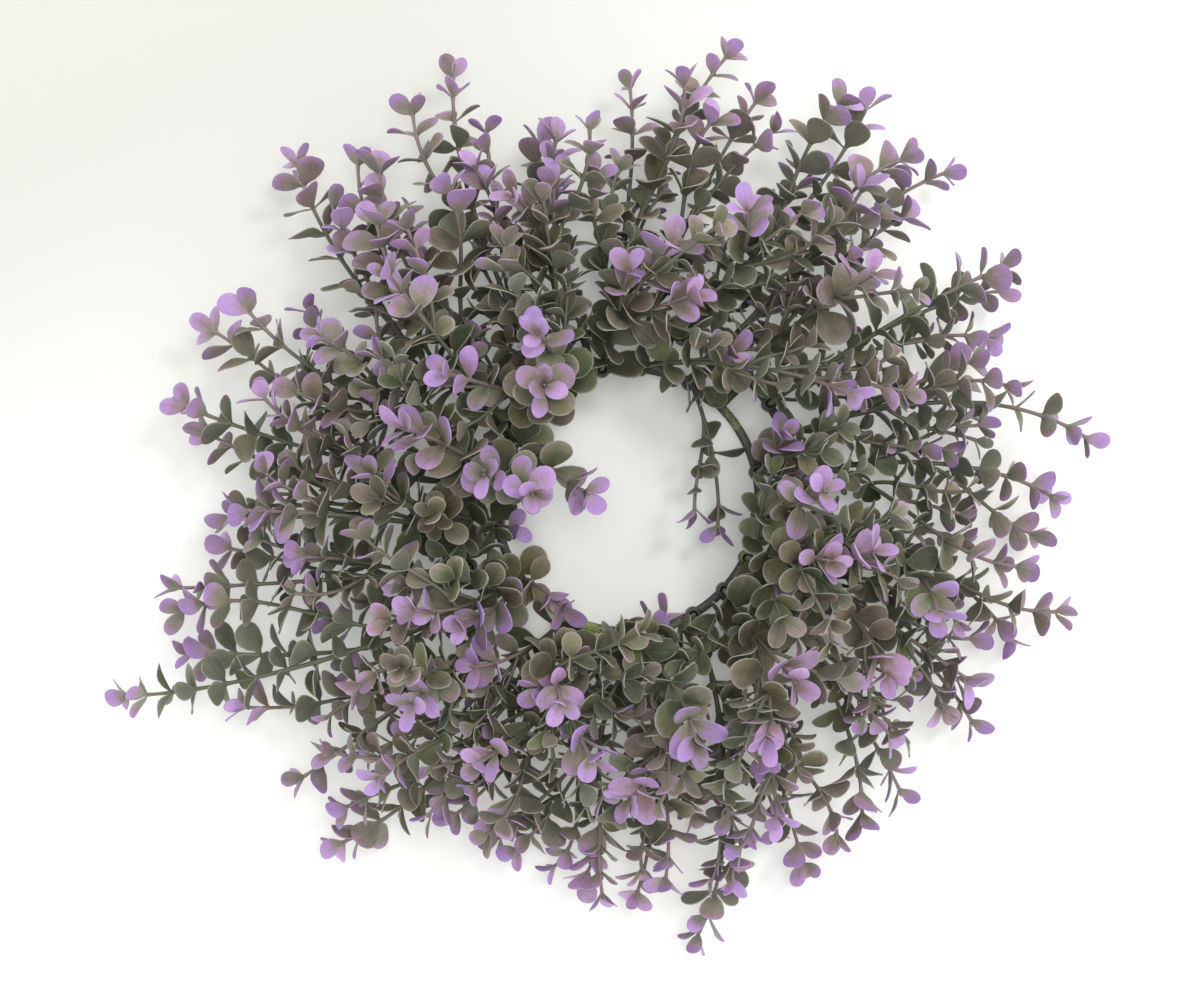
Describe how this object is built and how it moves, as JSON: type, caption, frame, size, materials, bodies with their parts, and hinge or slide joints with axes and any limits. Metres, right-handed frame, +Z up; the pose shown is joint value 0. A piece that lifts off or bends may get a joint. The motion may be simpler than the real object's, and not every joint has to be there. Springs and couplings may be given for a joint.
{
  "type": "artificial eucalyptus wreath",
  "caption": "Artificial eucalyptus wreath: leafy sprays with purple-tipped round leaves, plugged into a moulded ring around an open middle.",
  "frame": {"origin": "middle of the wreath's bounding box in plan, at the table under the ring", "axes": "+Z up, away from the table; +X along the wreath's widest extent, to the picture's right; +Y towards the picture's top"},
  "size_m": [0.3734, 0.348, 0.0954],
  "materials": {
    "leaf_plastic": "matte",
    "frame_plastic": "satin"
  },
  "bodies": {
    "root": {"wreath_frame": "frame_plastic", "spray_01": "leaf_plastic", "spray_02": "leaf_plastic", "spray_03": "leaf_plastic", "spray_04": "leaf_plastic", "spray_05": "leaf_plastic", "spray_06": "leaf_plastic", "spray_07": "leaf_plastic", "spray_08": "leaf_plastic", "spray_09": "leaf_plastic", "spray_10": "leaf_plastic", "spray_11": "leaf_plastic", "spray_12": "leaf_plastic", "spray_13": "leaf_plastic", "spray_14": "leaf_plastic", "spray_15": "leaf_plastic", "spray_16": "leaf_plastic", "spray_17": "leaf_plastic", "spray_18": "leaf_plastic", "spray_19": "leaf_plastic", "spray_20": "leaf_plastic", "spray_21": "leaf_plastic", "spray_22": "leaf_plastic", "spray_23": "leaf_plastic", "spray_24": "leaf_plastic", "spray_25": "leaf_plastic", "spray_26": "leaf_plastic", "spray_27": "leaf_plastic", "spray_28": "leaf_plastic", "spray_29": "leaf_plastic", "spray_30": "leaf_plastic", "spray_31": "leaf_plastic", "spray_32": "leaf_plastic", "spray_33": "leaf_plastic", "spray_34": "leaf_plastic", "spray_35": "leaf_plastic", "spray_36": "leaf_plastic", "spray_37": "leaf_plastic", "spray_38": "leaf_plastic", "spray_39": "leaf_plastic", "spray_40": "leaf_plastic", "spray_41": "leaf_plastic", "spray_42": "leaf_plastic", "spray_43": "leaf_plastic"}
  },
  "joints": []
}
